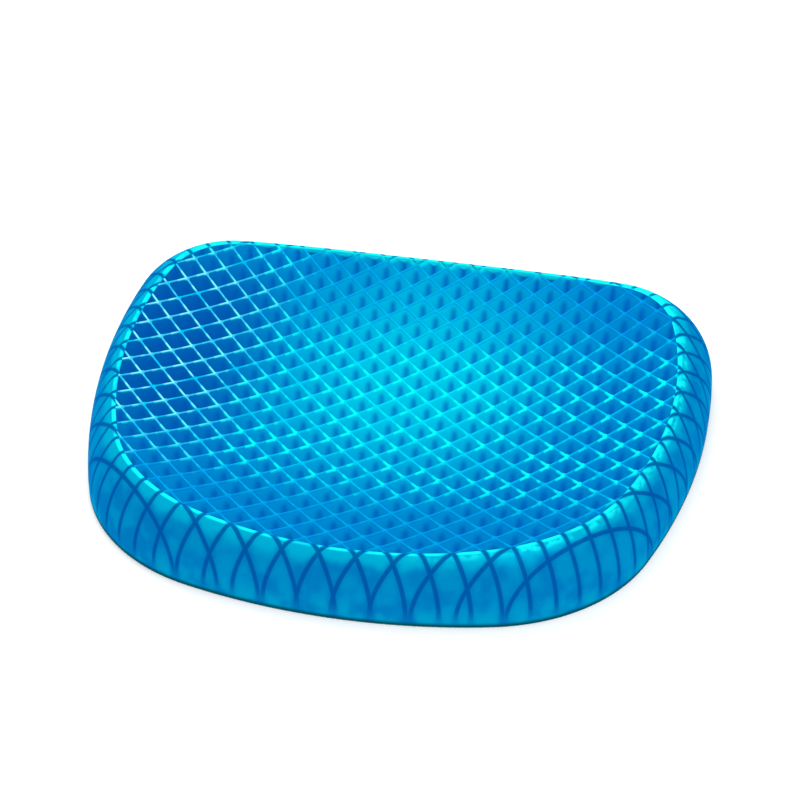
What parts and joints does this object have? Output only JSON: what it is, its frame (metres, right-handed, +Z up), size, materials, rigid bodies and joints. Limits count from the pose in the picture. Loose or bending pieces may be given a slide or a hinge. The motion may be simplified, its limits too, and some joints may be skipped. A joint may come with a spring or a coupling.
{
  "type": "seat cushion",
  "caption": "Open-cell gel seat cushion: a dished pad of crossing diagonal webs inside a smooth translucent wall, with rounded corners and a flat underside.",
  "frame": {"origin": "on the resting plane, at the middle of the outline", "axes": "+X to the sitter's right, +Y towards the back edge of the seat, +Z up"},
  "size_m": [0.418, 0.3638, 0.0538],
  "materials": {
    "gel_wall": "glossy translucent gel",
    "gel_web": "glossy translucent gel"
  },
  "bodies": {
    "root": {"outer_wall": "gel_wall", "web_left_01": "gel_web", "web_left_02": "gel_web", "web_left_03": "gel_web", "web_left_04": "gel_web", "web_left_05": "gel_web", "web_left_06": "gel_web", "web_left_07": "gel_web", "web_left_08": "gel_web", "web_left_09": "gel_web", "web_left_10": "gel_web", "web_left_11": "gel_web", "web_left_12": "gel_web", "web_left_13": "gel_web", "web_left_14": "gel_web", "web_left_15": "gel_web", "web_left_16": "gel_web", "web_left_17": "gel_web", "web_left_18": "gel_web", "web_left_19": "gel_web", "web_left_20": "gel_web", "web_left_21": "gel_web", "web_left_22": "gel_web", "web_left_23": "gel_web", "web_left_24": "gel_web", "web_left_25": "gel_web", "web_left_26": "gel_web", "web_left_27": "gel_web", "web_left_28": "gel_web", "web_right_01": "gel_web", "web_right_02": "gel_web", "web_right_03": "gel_web", "web_right_04": "gel_web", "web_right_05": "gel_web", "web_right_06": "gel_web", "web_right_07": "gel_web", "web_right_08": "gel_web", "web_right_09": "gel_web", "web_right_10": "gel_web", "web_right_11": "gel_web", "web_right_12": "gel_web", "web_right_13": "gel_web", "web_right_14": "gel_web", "web_right_15": "gel_web", "web_right_16": "gel_web", "web_right_17": "gel_web", "web_right_18": "gel_web", "web_right_19": "gel_web", "web_right_20": "gel_web", "web_right_21": "gel_web", "web_right_22": "gel_web", "web_right_23": "gel_web", "web_right_24": "gel_web", "web_right_25": "gel_web", "web_right_26": "gel_web", "web_right_27": "gel_web", "web_right_28": "gel_web"}
  },
  "joints": []
}
